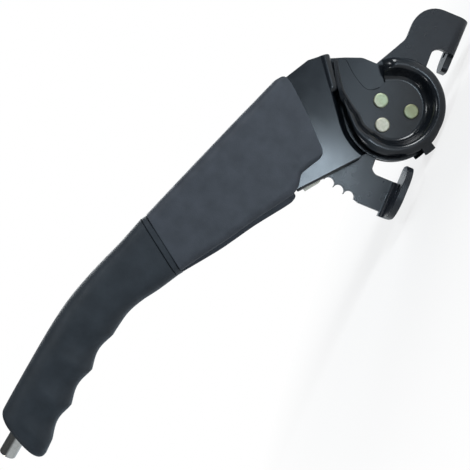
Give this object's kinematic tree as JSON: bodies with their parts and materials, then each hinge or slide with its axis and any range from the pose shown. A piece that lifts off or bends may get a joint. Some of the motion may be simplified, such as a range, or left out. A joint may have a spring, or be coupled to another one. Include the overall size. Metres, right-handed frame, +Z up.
{
  "type": "parking brake lever",
  "caption": "Hand lever that pulls parking brake cables: bent grip with release button on a pressed arm, turning on a toothed floor bracket.",
  "frame": {"origin": "centre of the two floor bolts, on the mounting plane under the feet", "axes": "+X forward along the car, towards the grip; +Y to the left; +Z up from the floor"},
  "size_m": [0.3581, 0.052, 0.1825],
  "materials": {
    "bracket_paint": "satin",
    "arm_paint": "satin",
    "dish_paint": "satin",
    "bare_steel": "satin",
    "zinc": "satin",
    "pawl_zinc": "satin",
    "sleeve_skin": "matte",
    "band": "matte",
    "grip_skin": "matte",
    "bush": "matte",
    "plating": "polished"
  },
  "bodies": {
    "base": {"base_plate": "bracket_paint"},
    "lever": {"left_cheek": "arm_paint", "right_cheek": "arm_paint", "left_dish": "dish_paint", "right_dish": "dish_paint", "pivot_disc": "bare_steel", "rivet_upper": "zinc", "rivet_lower": "zinc", "rivet_front": "zinc", "handle_tube": "bare_steel", "tube_saddle": "bare_steel", "sleeve": "sleeve_skin", "seam_band": "band", "grip": "grip_skin", "guide_bush": "bush", "spring_seat": "bare_steel", "rod_spring": "bare_steel", "pawl_pin": "bare_steel", "left_spacer": "bare_steel", "right_spacer": "bare_steel", "pawl_spring": "bare_steel"},
    "rod": {"push_rod": "bare_steel", "button": "plating", "spring_collar": "bare_steel"},
    "pawl": {"pawl": "pawl_zinc"}
  },
  "joints": [
    {"name": "lever_turn", "type": "hinge", "parent": "base", "child": "lever", "pos_m": [0.003, 0, 0.023], "axis": [0, -1, 0], "range_deg": [-21.6, 21.6]},
    {"name": "button_slide", "type": "slide", "parent": "lever", "child": "rod", "axis": [0.9903, 0, 0.1392], "range_m": [0, 0.0045], "deforming": ["rod_spring"]},
    {"name": "pawl_turn", "type": "hinge", "parent": "lever", "child": "pawl", "pos_m": [0.0485, 0, 0.07353], "axis": [0, -1, 0], "range_deg": [-10, 0], "deforming": ["pawl_spring"]}
  ],
  "couplings": [
    {"joint": "pawl_turn", "follows": "button_slide", "rad_per_m": -38.785}
  ]
}
